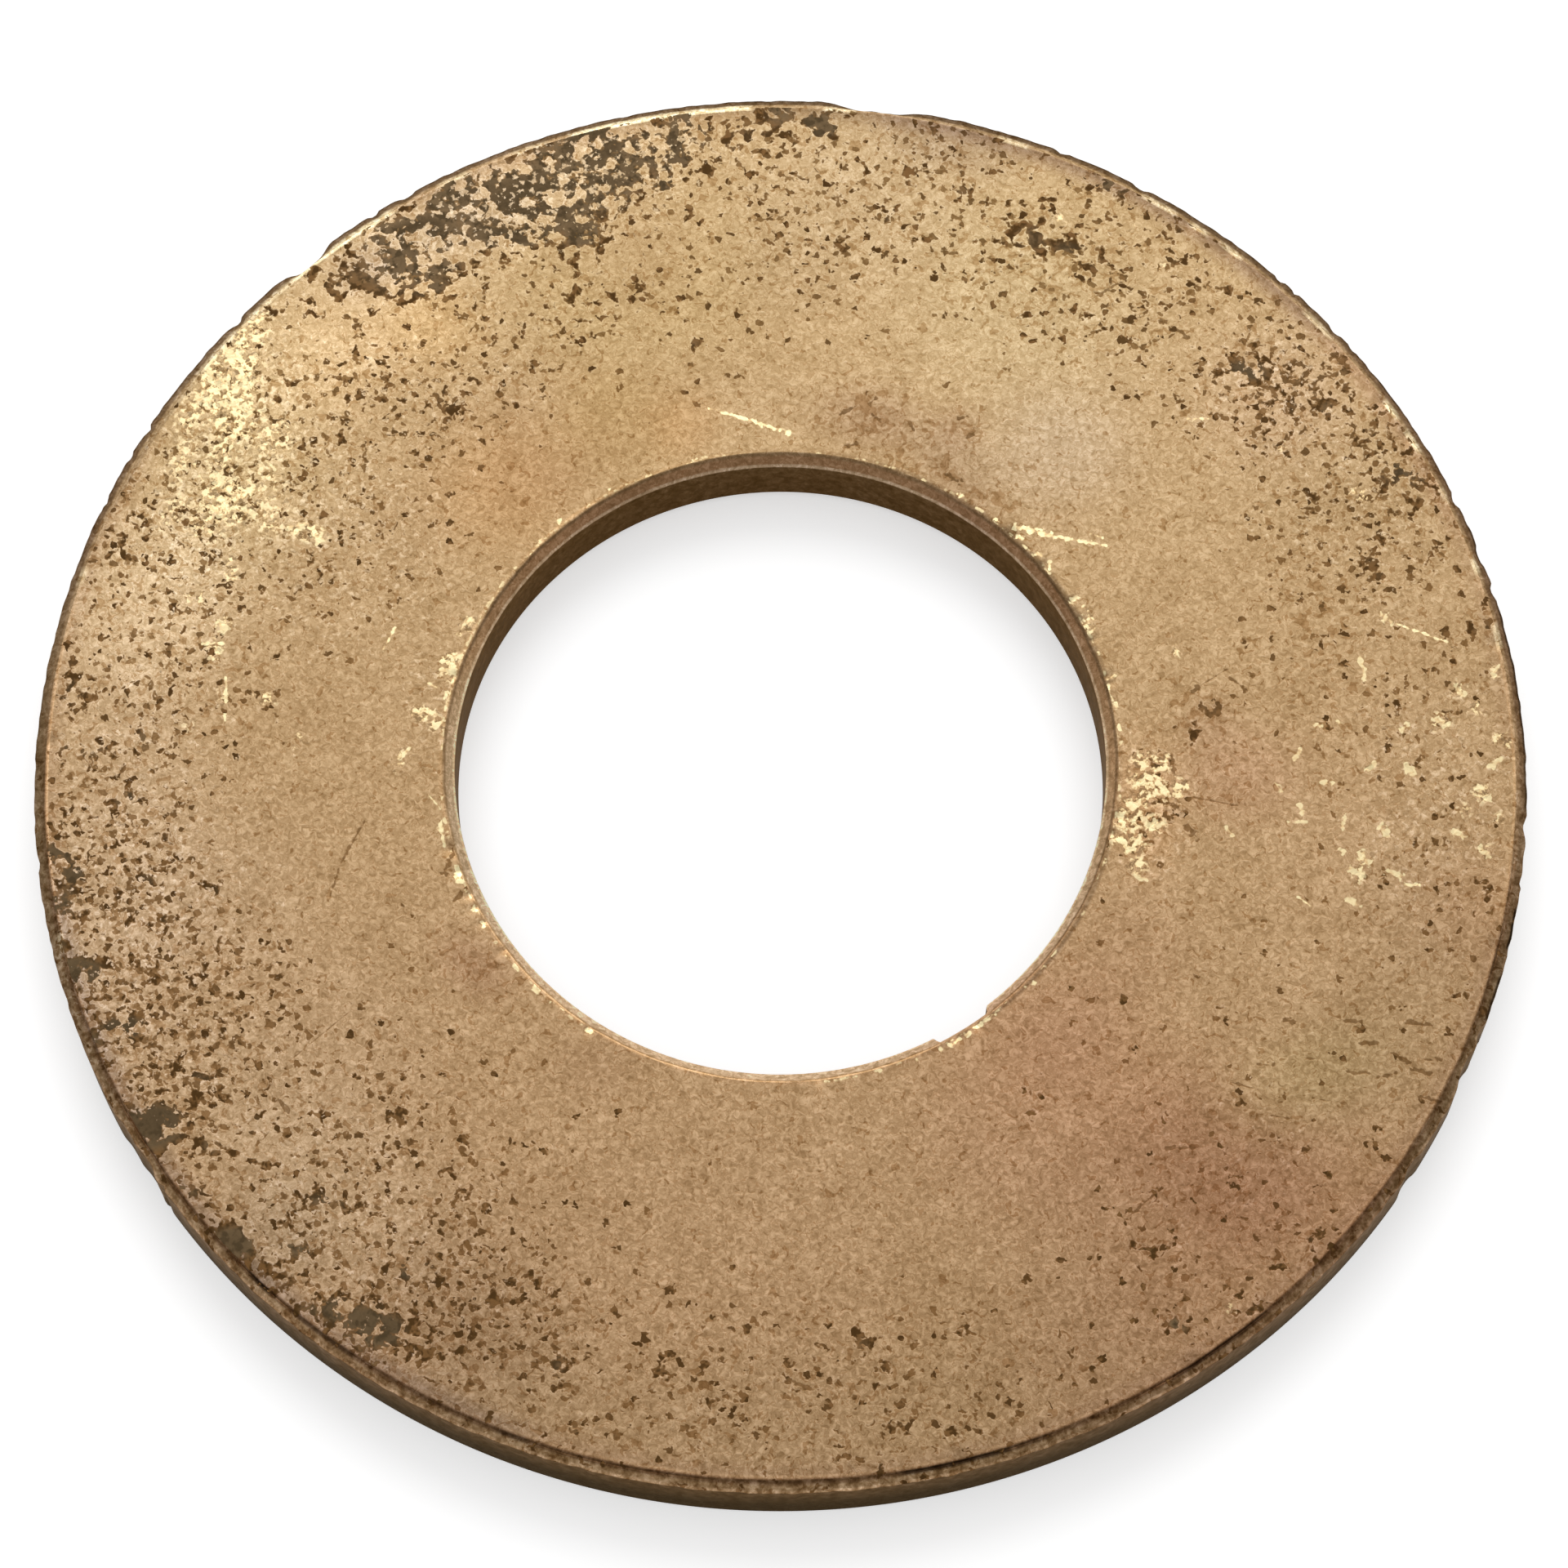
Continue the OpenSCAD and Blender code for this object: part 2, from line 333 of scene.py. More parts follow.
# Thin dark scratches: (x, y, reach in x, reach in y, half width), the reaches in hundredths too
DARK_SCRATCHES = [
    (13.5, 16.5, 90, -70, 6), (11.2, 17.4, 80, 50, 6), (-14.1, -2.1, -80, -160, 4),
    (-14.9, -3.7, -30, -110, 4), (14.1, 2.4, 30, 20, 8), (14.4, 2.6, 90, 60, 3), (15.4, 2.9, 60, -50, 4),
    (13.3, 0, 10, -60, 7), (13.1, -1.6, 50, -50, 10), (13.7, -2.6, 40, -35, 10), (12.2, -15.5, -90, -80, 6),
    (0.2, -21.7, 60, -30, 7), (-16.8, -12, 40, -40, 9), (12.7, -13.9, 90, 0, 6),
    (-16.5, -10.7, 250, 220, 2), (14, -1.5, 150, -30, 3), (-11, -3.2, -40, -80, 13),
    (-10.6, -4.5, -40, -50, 7), (18.8, -9.5, 50, -5, 6), (20.2, -10.6, 70, -40, 7),
    (18.8, -11.3, 70, -5, 6), (19.8, -11.5, 60, 15, 6), (20.9, -11.2, 60, -20, 7), (21.4, -10.9, 50, 0, 6),
    (17.6, -12.2, 100, -20, 4), (14.8, -11.6, 100, -30, 4), (15.8, -11, 60, -5, 6), (2.2, 12.9, 50, 30, 6),
    (3.2, 13.3, 20, 20, 7), (3.3, 12.9, 30, -30, 5), (6.3, 12.7, 30, 10, 7), (6.6, 12, 20, 10, 7),
    (4.6, 12.6, 10, -30, 5), (5.8, 10.6, 50, -30, 8), (2.3, 11.7, 60, 10, 7), (17.3, -10.8, 70, -5, 4),
    (19.2, -10.3, 60, 0, 6), (20.9, -9.6, 80, -10, 7), (21.2, -12.2, 60, -15, 6), (16.8, -9.5, 30, -5, 9),
    (16.2, -12.8, 80, -15, 4),
]

# Bright scratches, the same way
BRIGHT_SCRATCHES = [
    (-2.4, 13.2, 140, -45, 5), (-1, 12.75, 140, -55, 7), (8.2, 8.6, 120, -35, 11), (9.4, 8.25, 190, -40, 5),
    (10.8, 8.3, 40, -15, 4), (20.5, 5.2, 50, -20, 6), (21.2, 4.85, 170, -70, 4), (-13.6, 4.2, 40, 75, 5),
    (-13, 0.15, 40, 40, 6), (-18.95, 3.2, 0, -160, 4), (-19.3, 11.15, 40, 115, 5), (-19.8, 4.45, 70, 0, 5),
    (17.4, -5.1, 50, -40, 4), (14.3, 12.65, 70, 0, 5), (21, -4.7, 50, 0, 5), (12.4, -0.6, 70, -60, 7),
    (-10.95, -3.8, 15, -50, 10),
]

# Pale bits rubbed into the left and the right side, the same way
PALE_BITS = [
    (-19.2, 15.5, 40, -20, 16), (-19.8, 14.6, 40, -30, 18), (-18.9, 14.6, 30, -40, 15),
    (-20.3, 13.7, 40, -10, 12), (-19.4, 13.5, 50, -10, 14), (-18.6, 13.5, 10, -40, 12),
    (-19.6, 10.8, 30, -30, 17), (-20.3, 11.2, 30, -60, 5), (-18.5, 9.4, 30, -10, 13),
    (-19.6, 9.5, 40, -30, 12), (-16.9, 8.8, 50, 10, 12), (-16, 8.5, 10, -20, 13), (-17.8, 11.3, 30, -30, 4),
    (-19.2, 5.2, 10, -20, 13), (-19.4, 4.3, 20, -10, 11), (17.5, -0.1, 20, 30, 11), (20, -0.5, 20, 20, 11),
    (18.4, -0.95, 30, -10, 9), (18.2, 1.15, 20, -5, 8), (19, 1.3, 10, -15, 6), (19.9, 3.6, 10, -70, 9),
    (13.6, 4.1, 0, -40, 8), (20.7, 5.2, 30, -30, 12), (17.6, -1.8, 10, -30, 8), (17.2, -2.4, 60, 0, 4),
    (19, -2.6, 10, 30, 8), (20.3, -2.6, 20, -30, 11), (16.8, -1, 20, -30, 6), (19.6, -3.6, 20, -30, 12),
    (19.2, -4.1, 40, -20, 11), (20.5, -4.2, 40, -20, 9), (19.1, -5.2, 30, -20, 9), (18.9, -3.4, 10, -10, 8),
    (12.5, -2.5, 20, 10, 14), (15.1, -2.6, 20, -30, 6), (12, -4.3, 30, -10, 9), (21.2, 0.9, 20, 20, 9),
    (21.3, -0.4, 20, -30, 12), (22.4, 1.3, 30, -20, 11), (23.1, 2.5, 20, -30, 11), (24.4, 2.9, 20, 30, 9),
    (23.7, -1.3, 30, -30, 12), (22.8, -2.8, 30, -20, 9), (23.7, -3.4, 20, -30, 11),
    (24.2, -0.4, 30, 20, 11),
]

# Dark rings and arcs: (x, y, radius, first angle, last angle)
RINGS = [
    (14.7, 1.8, 0.3, 150, 420), (17.1, 13.5, 0.35, 0, 330), (18.1, 14.4, 0.45, 20, 360),
    (19.3, 13.7, 0.6, 70, 300), (19.4, 14.6, 0.5, -30, 80),
]

# Bare bits along the bore's corner: (angle, radius, angle, radius, half width), the radii in
# hundredths past 11 mm
BORE_BITS = [
    (173.8, 88, 172.6, 62, 8), (171, 142, 171, 122, 5), (166.4, 138, 166.8, 102, 5),
    (168.3, 68, 167.2, 64, 6), (163.8, 105, 162.8, 66, 13), (162.2, 115, 162, 95, 6), (161, 82, 160, 62, 9),
    (157, 108, 155.4, 96, 5), (155.4, 96, 153.4, 102, 5), (154.7, 78, 154.4, 76, 5),
    (170.5, 60, 164.5, 57, 5), (130.6, 66, 130.4, 70, 8), (135.2, 66, 134.8, 66, 5),
    (120.3, 66, 120.1, 66, 5), (57.6, 62, 56.9, 62, 7), (49.9, 62, 48.9, 64, 6), (44.9, 66, 44.2, 64, 10),
    (40.3, 70, 39.5, 78, 9), (38, 86, 36.8, 68, 6), (30, 84, 30.1, 64, 8), (28.3, 86, 27.8, 76, 5),
    (26.2, 88, 24.4, 62, 6), (25.9, 64, 24.3, 86, 5), (23.7, 84, 23.2, 60, 5), (19.6, 60, 19.2, 60, 4),
    (14.8, 86, 14.3, 60, 5), (9.6, 62, 9, 62, 8), (5.8, 62, 5, 62, 5), (185.6, 102, 188.2, 66, 3),
    (191, 74, 191.8, 72, 7), (193.6, 78, 194.8, 72, 7), (200.5, 74, 201.6, 66, 9),
    (203.2, 66, 203.8, 62, 6), (206.9, 62, 207.5, 62, 7), (209.8, 62, 210.4, 62, 6),
    (216.8, 58, 218, 56, 4), (219.2, 58, 220.2, 58, 5), (224.2, 60, 225.4, 60, 8), (227.6, 58, 228, 58, 4),
    (236, 62, 236.7, 60, 8), (277, 56, 277.6, 56, 5), (278.6, 56, 280.4, 56, 6), (292.7, 78, 292.5, 62, 4),
    (296.8, 74, 297, 62, 6), (298.8, 70, 300.4, 66, 9), (301.6, 66, 302.6, 62, 7), (303.6, 60, 305, 60, 6),
    (306, 60, 307.4, 58, 6), (316, 66, 316.4, 66, 5), (344.2, 110, 345.6, 84, 10), (347.5, 90, 349, 72, 10),
    (351, 105, 352.5, 95, 8),
]

# Stretches of the rim's corner with a painted highlight: (first angle, last angle, strength)
RIM_HIGHLIGHTS = [
    (92, 107, 100), (109, 112, 40), (116, 118.5, 50), (123, 133, 90), (133, 144, 45), (83.5, 86, 60),
    (69, 71.5, 50), (55.5, 58.5, 50), (52.5, 54, 60), (49, 51, 50), (39, 42, 50), (30.3, 32, 80),
    (27, 29, 80), (22, 23.5, 30), (15.5, 16.8, 70), (9, 11, 50), (163, 164.5, 40), (194, 195.5, 30),
]

# Bright streaks low on the rim's chamfer, the same way
CHAMFER_STREAKS = [(273.5, 276, 90), (295, 302, 100), (279, 284, 30), (239, 242, 30), (326, 331, 40)]

# Stretches of painted shadow, black, in the crease and along the foot of the rim's chamfer, the same way
CREASE_SHADOWS = [
    (225.5, 228, 100), (230, 236, 60), (248, 250.5, 60), (278.5, 287, 100), (287, 290, 50),
    (300.5, 309, 80),
]
CHAMFER_SHADOWS = [
    (172, 205, 30), (338, 342, 90), (344, 347.5, 100), (355.5, 360, 60), (0, 12.5, 60), (16, 20, 50),
    (31, 34, 40),
]

# Stains that turn or darken the metal: (x, y, radius, (red, green, blue) gain)
STAINS = [
    (14.7, -14.7, (4.2, 2.8, -40), (81, 71, 72)), (10, -10.5, (4.5, 2.8, -35), (100, 94, 94)),
    (13.5, -18, 3, (94, 89, 88)), (10.5, -15.3, 2.2, (94, 91, 91)), (18.5, -15, 2.5, (98, 93, 93)),
    (15.5, -0.6, (2, 1.8), (98, 92, 96)), (23.5, -5.5, 2, (100, 96, 95)), (-9.5, 10.3, 2.5, (106, 99, 90)),
    (-5.8, 12.5, 2.2, (102, 101, 90)), (-3.3, 12.6, 1.3, (106, 100, 94)), (-12, 16.4, 1.6, (104, 100, 92)),
    (-5, 17.5, 4, (100, 102, 95)), (9.8, 11.5, (2.4, 2.2), (105, 111, 127)),
    (3.3, 12.9, (1.7, 1.2, -15), (89, 86, 89)), (6.2, 12.3, 0.9, (92, 89, 92)),
    (6.5, 9.5, (2.5, 0.9, -50), (86, 83, 84)), (8.5, 17, 4, (104, 109, 110)), (3, 22, 4, (102, 105, 112)),
    (-10, 21.5, (6, 2.2, 25), (117, 119, 127)), (-22.3, -5, (2.8, 7), (120, 128, 146)),
    (-15.5, -14.8, (6, 3, -45), (110, 116, 124)), (17.5, 13.5, 2.6, (110, 111, 122)),
    (-19.2, 12.4, (2.8, 5.5, -8), (111, 115, 115)), (12.4, -1.8, (1.1, 2.2), (109, 100, 94)),
    (-10.3, -7.3, (1.5, 1, -40), (90, 85, 88)), (0, -23.5, (13, 3), (93, 95, 94)),
    (-11, -19.8, 3.5, (86, 85, 86)), (11, -20.5, 3.8, (88, 85, 85)), (14.6, 1.3, 1, (94, 92, 94)),
    (-14.5, 18.6, (1.3, 1, 20), (84, 85, 93)), (-21.6, 5.8, (3, 3.6, -10), (135, 146, 165)),
    (-15.2, 15.8, (3.4, 2.4, 45), (130, 133, 138)), (-18, 10.5, 2.8, (112, 116, 118)),
    (-15.5, -10, (3.5, 4.5, 30), (104, 106, 111)), (-7, 12.5, (6, 3, 30), (91, 88, 89)),
    (-11, 20.6, (3.2, 1.1, 20), (92, 94, 100)), (-5, 19.2, 2.5, (92, 89, 91)),
    (8.5, 14.7, 4.5, (102, 103, 106)), (6.3, 23.4, (2.6, 1, -15), (84, 84, 90)),
    (-18.5, -4.8, (2.5, 3), (104, 106, 111)), (-16.8, -16.8, 2, (92, 95, 100)),
    (-6.2, -10.8, (1.5, 1.2), (93, 91, 91)), (18.8, -2.5, (2.6, 4), (104, 104, 106)),
    (5.5, -20.5, (3, 4), (93, 93, 90)), (7.5, -13, (3, 4, 30), (96, 91, 93)),
    (9.5, -9.5, 2.2, (93, 90, 92)), (19.5, -11.3, (4.5, 2.5, 60), (91, 92, 91)),
    (17.2, -11.6, (3, 1.6, 25), (96, 100, 94)), (22.5, -6, 2.5, (94, 94, 96)),
    (-6.5, 11.5, (3.5, 1.2, 30), (94, 93, 93)), (3.5, 12.2, (4, 1.2, -20), (94, 93, 94)),
    (19.5, 10, (3.5, 2.5), (94, 94, 93)), (0, 18.5, 2, (91, 90, 89)), (11.7, -6.7, 2.2, (96, 93, 94)),
    (6.5, 11, (2.5, 1, -35), (92, 92, 94)), (-9, -21.5, 3, (95, 96, 96)),
]

# Colour gain of the rim's narrow zones on the near side and on the far side: the metal's own tone with
# painted shade, the black near crease, the dark wall and the dark far chamfer
RIM_GAINS = {
    "lip_in": ((95, 94, 93), (95, 93, 92)),
    "lip_out": ((60, 53, 48), (98, 98, 100)),
    "crease_in": ((28, 22, 18), (105, 103, 104)),
    "crease": ((18, 13, 9), (105, 102, 102)),
    "crease_out": ((27, 21, 17), (100, 95, 93)),
    "rim_chamfer": ((68, 66, 62), (38, 34, 34)),
    "rim_chamfer_low": ((92, 90, 90), (25, 22, 23)),
    "rim_wall": ((34, 31, 28), (34, 31, 28)),
    "rim_under": ((34, 31, 28), (34, 31, 28)),
}

# How much of the rim's painted highlights each narrow zone takes, 1 being all of them, and their colour
# gain as a plain factor
HIGHLIGHT_SHARES = {"lip_in": 0.9, "lip_out": 1.0, "crease_in": 1.0, "crease": 1.0, "crease_out": 0.9}
HIGHLIGHT_GAIN = (2.06, 2.62, 3.25)

# The far half is yellower and the near half browner: colour gain this far from the middle, as a
# plain factor
SIDE_AT = 16
FAR_GAIN = (1.02, 1.065, 1.07)
NEAR_GAIN = (1.00, 0.965, 0.98)

# How widely the noises of the tarnish, of the brown dots and of the bare metal spread about 0.5, the
# width of the logistic curve that fits such a spread, and a level that no noise passes
TARNISH_SPREAD = 0.088
DOT_SPREAD = 0.085
BARE_SPREAD = 0.085
LOGISTIC_FIT = 0.5875
NO_WEAR = 2.0

# How far from a face a mark may be to reach into it, and the place kept where there is no mark
MARK_REACH = 1.2
NO_MARK = 9.0


# The mesh

def unit(value):
    """The value held between 0 and 1."""
    return np.clip(value, 0, 1)


def hump(value, middle, width, power=2):
    """1 in the middle, falling to 0 past the width; a higher power gives a flatter top."""
    return np.exp(-(((value - middle) / width) ** power))


def wave(angle, parts):
    """A closed wave round the ring: the sum of (count, size, phase) sines."""
    return sum(size * np.sin(count * angle + phase) for count, size, phase in parts)


def section_points():
    """The ring's closed section as (zone, r, z), from the bore's end of the top face outward,
    down the rim, inward along the underside and up the bore."""
    top = THICKNESS
    face_z = top - FACE_DROP
    rim_edge = (FACE_OUT, RIM_CHAMFER_W, RIM_CHAMFER_H)
    bore_edge = (FACE_IN, -BORE_CHAMFER, BORE_CHAMFER)
    points = []

    def add(zone, places):
        points.extend((zone, r, z) for r, z in places)

    def cone(zone, edge, shares, under=False):
        """Places on a chamfer, at shares of the way from its face to its wall."""
        face_r, width, height = edge
        add(zone, [(face_r + width * t, height * t if under else top - height * t) for t in shares])

    add("bore_lip", [(FACE_IN + 0.03, face_z), (FACE_IN + 0.10, face_z)])
    face_r = np.linspace(FACE_IN + 0.2, FACE_OUT - 0.2, FACE_RINGS)
    add("face", [(r, face_z) for r in [*face_r, FACE_OUT - 0.12]])
    for zone, out, down in CORNER_SECTION:
        add(zone, [(FACE_OUT + out, top - down)])
    cone("rim_chamfer", rim_edge, (0.48, 0.6, 0.72))
    cone("rim_chamfer_low", rim_edge, (0.84, 0.96))
    wall_z = np.linspace(top - RIM_CHAMFER_H - 0.03, RIM_CHAMFER_H + 0.03, WALL_RINGS)
    add("rim_wall", [(OUTER_R, z) for z in wall_z])
    cone("rim_under", rim_edge, (0.9, 0.5, 0.1), under=True)
    add("under", [(r, 0.0) for r in np.linspace(FACE_OUT - 0.03, FACE_IN + 0.03, UNDERSIDE_RINGS)])
    cone("bore_under", bore_edge, (0.1, 0.5, 0.9), under=True)
    wall_z = np.linspace(BORE_CHAMFER + 0.02, top - BORE_CHAMFER - 0.05, WALL_RINGS)
    add("bore_wall", [(BORE_R, z) for z in wall_z])
    cone("bore_line", bore_edge, (0.97, 0.87))
    cone("bore_chamfer", bore_edge, (0.76, 0.5, 0.3))
    cone("bore_corner", bore_edge, (0.16, 0.06))
    return points


def nick_depth(angle, nicks, power=2):
    """How deep the nicks cut at each angle round the ring; a higher power gives flatter floors."""
    depth = np.zeros_like(angle)
    for centre, half_width, deep in nicks:
        off = (angle - math.radians(centre) + math.pi) % (2 * math.pi) - math.pi
        depth += deep / 100 * hump(off, 0, math.radians(half_width), power)
    return depth


def far_side(angle):
    """1 round the far half of the ring and 0 round the near half, with a soft change between."""
    t = unit((np.sin(angle) + 0.25) / 0.5)
    return t * t * (3 - 2 * t)


def groove_strength(angle):
    """How deep the crease inside the rim's chamfer is cut, 0 to 1, round the ring."""
    degrees = np.degrees(angle) % 360
    strength = 0.50 + wave(angle, [(3, 0.12, 0.6), (7, 0.10, 2.1), (17, 0.08, 0.4), (41, 0.06, 1.9)])
    for centre, half_width, extra in ((227, 3.5, 0.6), (285, 6, 0.5), (304, 5, 0.6), (213, 6, 0.3)):
        strength = strength + extra * hump(degrees, centre, half_width)
    return np.clip(strength, 0.2, 1.0) * (1 - far_side(angle))


def ring_points(section, zones):
    """The grid of points, (rings, steps round the ring, 3)."""
    angle = np.linspace(0, 2 * math.pi, TURN_STEPS, endpoint=False)[None, :]
    degrees = np.degrees(angle)
    r = np.array([r for _, r, _ in section])[:, None] + np.zeros_like(angle)
    z = np.array([z for _, _, z in section])[:, None] + np.zeros_like(angle)

    def on(*names):
        return np.isin(zones, names)[:, None]

    plane = THICKNESS - np.maximum(r - FACE_OUT, 0) * RIM_CHAMFER_H / RIM_CHAMFER_W
    z = np.where(on(*CREASE_ZONES), plane + (z - plane) * groove_strength(angle), z)

    upper = z > THICKNESS / 2
    for nicks, corner_r in ((RIM_NICKS, FACE_OUT), (BORE_NICKS, FACE_IN)):
        z = z - nick_depth(angle, nicks) * hump(r, corner_r, 0.2) * upper

    # Dents press the rim's outer corner in, and the chip takes the bore's chamfer away
    corner_share = unit((r - FACE_OUT) / RIM_CHAMFER_W)
    for centre, half_width, deep, reach in RIM_DENTS:
        low = THICKNESS * (1 - reach / 100)
        down = 1.0 if reach == 100 else unit((z - low) / (THICKNESS * 0.9 - low))
        r = r - nick_depth(angle, [(centre, half_width, deep)], 4) * corner_share * down
    first, last, deep = BORE_CHIP
    chipped = unit((degrees - first) / CHIP_FADE) * unit((last - degrees) / CHIP_FADE)
    chipped = chipped * unit((FACE_IN - r) / BORE_CHAMFER) * unit((z - CHIP_FOOT) / CHIP_HEIGHT)
    r = r + deep * chipped * on("bore_wall", "bore_line", "bore_chamfer", "bore_corner")

    r = r + wave(angle, RIM_RAGGED) * corner_share * upper
    r = r + wave(angle, RIM_WOBBLE) * on("lip_in", "lip_out", *CREASE_ZONES)
    r = r + wave(angle, BORE_WOBBLE) * on("bore_corner", "bore_chamfer")
    return np.stack([r * np.cos(angle), r * np.sin(angle), np.clip(z, 0, THICKNESS)], -1)


def ring_corners(rings):
    """The grid's faces, four point numbers each."""
    i, j = np.meshgrid(np.arange(rings), np.arange(TURN_STEPS), indexing="ij")
    i2 = (i + 1) % rings
    j2 = (j + 1) % TURN_STEPS
    corners = [i * TURN_STEPS + j, i2 * TURN_STEPS + j, i2 * TURN_STEPS + j2, i * TURN_STEPS + j2]
    return np.stack(corners, -1).reshape(-1, 4)


def build_mesh(points, corners):
    mesh = bpy.data.meshes.new("washer_ring")
    mesh.vertices.add(len(points))
    mesh.vertices.foreach_set("co", (points.reshape(-1) * MM).astype(np.float32))
    mesh.loops.add(corners.size)
    mesh.loops.foreach_set("vertex_index", corners.reshape(-1).astype(np.int32))
    mesh.polygons.add(len(corners))
    mesh.polygons.foreach_set("loop_start", (np.arange(len(corners)) * 4).astype(np.int32))
    mesh.update(calc_edges=True)
    mesh.polygons.foreach_set("use_smooth", np.ones(len(corners), bool))
    mesh.set_sharp_from_angle(angle=math.radians(SHARP_ANGLE))
    return mesh


# Painting on the mesh

def spot(x, y, at_x, at_y, radius):
    """1 in the middle of a soft spot, falling to 0 a little past its radius."""
    rx, ry, turn = (*radius, 0)[:3] if isinstance(radius, tuple) else (radius, radius, 0)
    c, s = math.cos(math.radians(turn)), math.sin(math.radians(turn))
    u = ((x - at_x) * c + (y - at_y) * s) / rx
    v = (-(x - at_x) * s + (y - at_y) * c) / ry
    return np.exp(-((u * u + v * v) ** 1.3))


def spots(x, y, places):
    """The strongest of many soft spots at each point."""
    level = np.zeros_like(x)
    for at_x, at_y, radius, strength in places:
        level = np.maximum(level, strength / 100 * spot(x, y, at_x, at_y, radius))
    return level


def stretches(degrees, places, fade=0.5):
    """The strongest of many stretches round the ring at each angle."""
    level = np.zeros_like(degrees)
    for first, last, strength in places:
        inside = unit((degrees - first) / fade + 0.5) * unit((last - degrees) / fade + 0.5)
        level = np.maximum(level, strength / 100 * inside)
    return level


def tone_at(degrees, tones):
    """The gain at each angle, read between the angles of a list."""
    angles, gains = zip(*tones)
    return np.interp(degrees, angles, np.array(gains) / 100)[:, None]


def noise_level(share, spread):
    """The level that a noise of this spread about 0.5 passes over the given share of an area."""
    share = np.clip(share, 0.0005, 0.95)
    return 0.5 + LOGISTIC_FIT * spread * np.log((1 - share) / share)


def stain_gain(x, y):
    """The colour gain of all stains at each point, (points, 3)."""
    side = np.clip(y / SIDE_AT, -1.3, 1.3)[:, None]
    far_part = np.maximum(side, 0) * (np.array(FAR_GAIN) - 1)
    gain = 1 + far_part + np.maximum(-side, 0) * (np.array(NEAR_GAIN) - 1)
    weights = [(spot(x, y, at_x, at_y, radius), colour) for at_x, at_y, radius, colour in STAINS]
    from_middle = np.hypot(x, y)
    by_rim = unit((from_middle - 24.3) / 0.5) * (from_middle < FACE_OUT)
    degrees = np.degrees(np.arctan2(y, x)) % 360
    for first, last, colour in RIM_SHADES:
        weights.append((by_rim * stretches(degrees, [(first, last, 100)], 4.0), colour))
    for weight, colour in weights:
        gain *= 1 + (np.array(colour) / 100 - 1) * weight[:, None]
    return gain


def rim_gain(zone, degrees, z):
    """The colour gain of the rim's corner, chamfer and wall, (points, 3); 1 elsewhere."""
    angle = np.radians(degrees)
    far = far_side(angle + math.radians(8))[:, None]
    gain = np.ones(zone.shape + (3,))
    for name, colours in RIM_GAINS.items():
        near_colour, far_colour = np.array(colours) / 100
        chosen = zone == name
        gain[chosen] = (near_colour * (1 - far) + far_colour * far)[chosen]

    for names, tones in ((BRIGHT_ZONES, RIM_CORNER_TONE), (CHAMFER_ZONES, RIM_CHAMFER_TONE)):
        chosen = np.isin(zone, names)
        gain[chosen] *= tone_at(degrees, tones)[chosen]

    # Painted shade in the crease: black where it is deep, fading where it is shallow
    shallow = (0.30 * (1 - groove_strength(angle)))[:, None]
    crease = np.isin(zone, CREASE_ZONES)
    gain[crease] = (gain + shallow * (1 - far) * (1 - gain))[crease]
    gain[crease] *= 1 - 0.75 * stretches(degrees, CREASE_SHADOWS, 1.0)[crease, None]

    # The near chamfer is palest at its near left. The wall gets painted shade,
    # blackest at the foot of the near side
    pale = (0.70 + 0.34 * hump(degrees, 250, 62, 4))[:, None] * (1 - far) + far
    chamfer = np.isin(zone, CHAMFER_ZONES)
    gain[chamfer] *= pale[chamfer]
    nearest = hump(degrees, 264, 34)
    height = unit(z / (THICKNESS * 0.8))
    foot_shade = np.maximum(height ** (2.4 * nearest) * (0.4 + 0.6 * height), 0.16)
    greyer = 1 + (1 - nearest)[:, None] * np.array([0.30, 0.42, 0.80])
    wall = np.isin(zone, ["rim_wall", "rim_under"])
    gain[wall] *= (foot_shade[:, None] * greyer)[wall]

    # Bright streaks low on the chamfer, and painted shadow along it
    streak = stretches(degrees, CHAMFER_STREAKS)[:, None] * np.array([0.40, 0.45, 0.55])
    low = zone == "rim_chamfer_low"
    gain[low] = ((gain + streak) * (1 - 0.9 * stretches(degrees, CHAMFER_SHADOWS))[:, None])[low]
    return gain


def add_painted_highlights(gain, zone, degrees):
    """Paints highlights on the rim's corner along its stretches."""
    for name, share in HIGHLIGHT_SHARES.items():
        chosen = zone == name
        highlight = (share * stretches(degrees, RIM_HIGHLIGHTS))[:, None]
        gain[chosen] = (gain * (1 - highlight) + np.array(HIGHLIGHT_GAIN) * highlight)[chosen]


def bore_gain(zone, degrees):
    """The colour gain of the bore's corner, chamfer and wall, (points, 3); 1 elsewhere."""
    gain = np.ones(zone.shape + (3,))
    corner = tone_at(degrees, BORE_CORNER_TONE)
    body = tone_at(degrees, BORE_CHAMFER_TONE)
    # Painted reflection: the chamfer and the line at its foot are brightened, paler and bluer where
    # brightest
    line = 1.60 - 0.62 * hump(degrees, 255, 45)[:, None]
    pinker = np.clip(1.3 - body, 0, 0.6)
    bluer = unit((body - 1.15) / 0.55) * np.array([0, 0.18, 0.48])
    tones = {
        "bore_lip": tone_at(degrees, BORE_LIP_TONE) * np.array([1, 0.97, 0.95]),
        "bore_corner": corner * (1 - np.array([0, 0.16, 0.26]) * unit(1.2 - corner)),
        "bore_chamfer": body * (1 - np.array([0, 0.2, 0.22]) * pinker + bluer) * np.array([1, 0.95, 0.92]),
        "bore_line": line * body * (1 - np.array([0, 0.1, 0.05]) * pinker) * np.array([1, 1.12, 1.35]),
        # Painted shade: the bore's wall and the chamfer under it are dark
        "bore_wall": np.array([0.255, 0.21, 0.17]) + 0 * body,
        "bore_under": np.array([0.26, 0.21, 0.15]) + 0 * body,
    }
    for name, tone in tones.items():
        gain[zone == name] = tone[zone == name]
    return gain


def on_circle(degrees, radius):
    turn = math.radians(degrees)
    return radius * math.cos(turn), radius * math.sin(turn)


